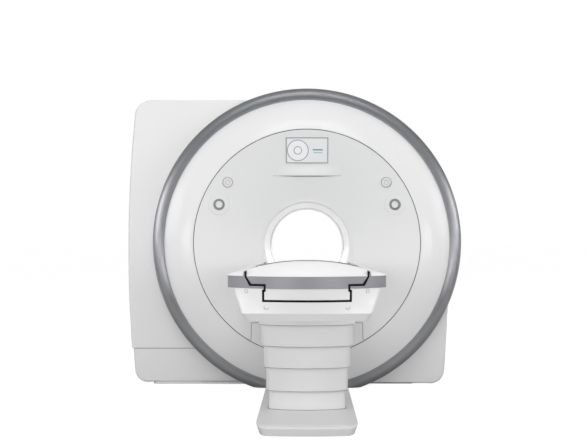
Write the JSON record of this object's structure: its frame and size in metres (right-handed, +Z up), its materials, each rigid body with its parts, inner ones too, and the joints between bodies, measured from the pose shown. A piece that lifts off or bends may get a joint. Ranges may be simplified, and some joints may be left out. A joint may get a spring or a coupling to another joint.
{
  "type": "magnetic resonance scanner with patient table",
  "caption": "Magnetic resonance scanner: a round dished front with a silver rim around a patient bore, a wide magnet cover behind it and a patient table that rises on a telescopic pedestal.",
  "frame": {"origin": "on the floor, below the magnet's isocentre, in the middle of the magnet's floor plate", "axes": "+Y along the bore from the table's side to the rear, +Z up, +X to the right as seen from the table's end"},
  "size_m": [2.3559, 3.8, 2.0909],
  "materials": {
    "cover_white": "smooth painted moulding, soft gloss",
    "silver_trim": "satin silver lacquer",
    "frame_grey": "fine matte",
    "screen_glass": "flat cover glass over a lit display",
    "ring_dark": "fine matte",
    "button_white": "smooth",
    "button_rim": "smooth",
    "liner_white": "smooth glass-fibre laminate",
    "rail_grey": "brushed",
    "vessel_steel": "welded sheet, brushed",
    "coil_resin": "cast resin",
    "cold_head_metal": "machined",
    "frame_steel": "powder coat",
    "seal_black": "matte",
    "board_white": "smooth laminate",
    "pad_cover": "soft coated cover",
    "channel_grey": "smooth",
    "column_metal": "anodised"
  },
  "bodies": {
    "gantry": {"front_bezel": "cover_white", "inner_fascia": "cover_white", "lower_panel": "cover_white", "control_pods": "cover_white", "front_funnel": "cover_white", "rear_funnel": "cover_white", "left_cover": "cover_white", "right_cover": "cover_white", "kick_panel": "cover_white", "rear_cover": "cover_white", "drum_cover": "cover_white", "shroud_4": "cover_white", "foot_cover": "cover_white", "ring_trim": "silver_trim", "display_bezel": "frame_grey", "display_screen": "screen_glass", "dial_rings": "ring_dark", "stop_rings": "button_rim", "body_coil": "liner_white", "bore_rails": "rail_grey", "magnet_vessel": "vessel_steel", "gradient_coil": "coil_resin", "cold_head": "cold_head_metal", "floor_plate": "frame_steel", "magnet_cradles": "frame_steel", "cover_standoffs": "frame_steel", "column_outer": "column_metal", "lift_motor": "frame_steel", "column_base_plate": "frame_steel"},
    "table": {"table_frame": "frame_steel", "table_base_cover": "cover_white", "column_collar": "cover_white", "channel_liner": "channel_grey", "wing_left": "cover_white", "wing_right": "cover_white", "table_band": "silver_trim", "guide_rails": "rail_grey", "nose_seal": "seal_black", "column_inner": "column_metal"},
    "tabletop": {"tabletop": "board_white", "mattress_pad": "pad_cover", "nose_cap": "cover_white", "nose_band": "silver_trim", "nose_keel": "cover_white"},
    "shroud_1": {"shroud_1": "cover_white"},
    "shroud_2": {"shroud_2": "cover_white"},
    "shroud_3": {"shroud_3": "cover_white"},
    "column_middle": {"column_middle": "column_metal"},
    "dial_left": {"dial_knob_left": "button_white"},
    "dial_right": {"dial_knob_right": "button_white"},
    "stop_left": {"stop_button_left": "button_white"},
    "stop_right": {"stop_button_right": "button_white"}
  },
  "joints": [
    {"name": "table_lift", "type": "slide", "parent": "gantry", "child": "table", "axis": [0, 0, 1], "range_m": [-0.38, 0]},
    {"name": "tabletop_slide", "type": "slide", "parent": "table", "child": "tabletop", "axis": [0, 1, 0], "range_m": [0, 1.9]},
    {"name": "shroud_1_lift", "type": "slide", "parent": "gantry", "child": "shroud_1", "axis": [0, 0, 1], "range_m": [-0.285, 0]},
    {"name": "shroud_2_lift", "type": "slide", "parent": "gantry", "child": "shroud_2", "axis": [0, 0, 1], "range_m": [-0.19, 0]},
    {"name": "shroud_3_lift", "type": "slide", "parent": "gantry", "child": "shroud_3", "axis": [0, 0, 1], "range_m": [-0.095, 0]},
    {"name": "column_middle_lift", "type": "slide", "parent": "gantry", "child": "column_middle", "axis": [0, 0, 1], "range_m": [-0.19, 0]},
    {"name": "dial_left_turn", "type": "hinge", "parent": "gantry", "child": "dial_left", "pos_m": [-0.614, -0.71404, 1.282], "axis": [0.2561, -0.9603, -0.1109], "continuous": true},
    {"name": "dial_right_turn", "type": "hinge", "parent": "gantry", "child": "dial_right", "pos_m": [0.614, -0.71404, 1.282], "axis": [-0.2561, -0.9603, -0.1109], "continuous": true},
    {"name": "stop_left_push", "type": "slide", "parent": "gantry", "child": "stop_left", "axis": [-0.2222, 0.9603, 0.1688], "range_m": [0, 0.004], "stiffness_N_per_m": 1200, "springref_m": -0.003},
    {"name": "stop_right_push", "type": "slide", "parent": "gantry", "child": "stop_right", "axis": [0.2222, 0.9603, 0.1688], "range_m": [0, 0.004], "stiffness_N_per_m": 1200, "springref_m": -0.003}
  ],
  "couplings": [
    {"joint": "shroud_1_lift", "follows": "table_lift", "ratio": 0.75},
    {"joint": "shroud_2_lift", "follows": "table_lift", "ratio": 0.5},
    {"joint": "shroud_3_lift", "follows": "table_lift", "ratio": 0.25},
    {"joint": "column_middle_lift", "follows": "table_lift", "ratio": 0.5}
  ]
}
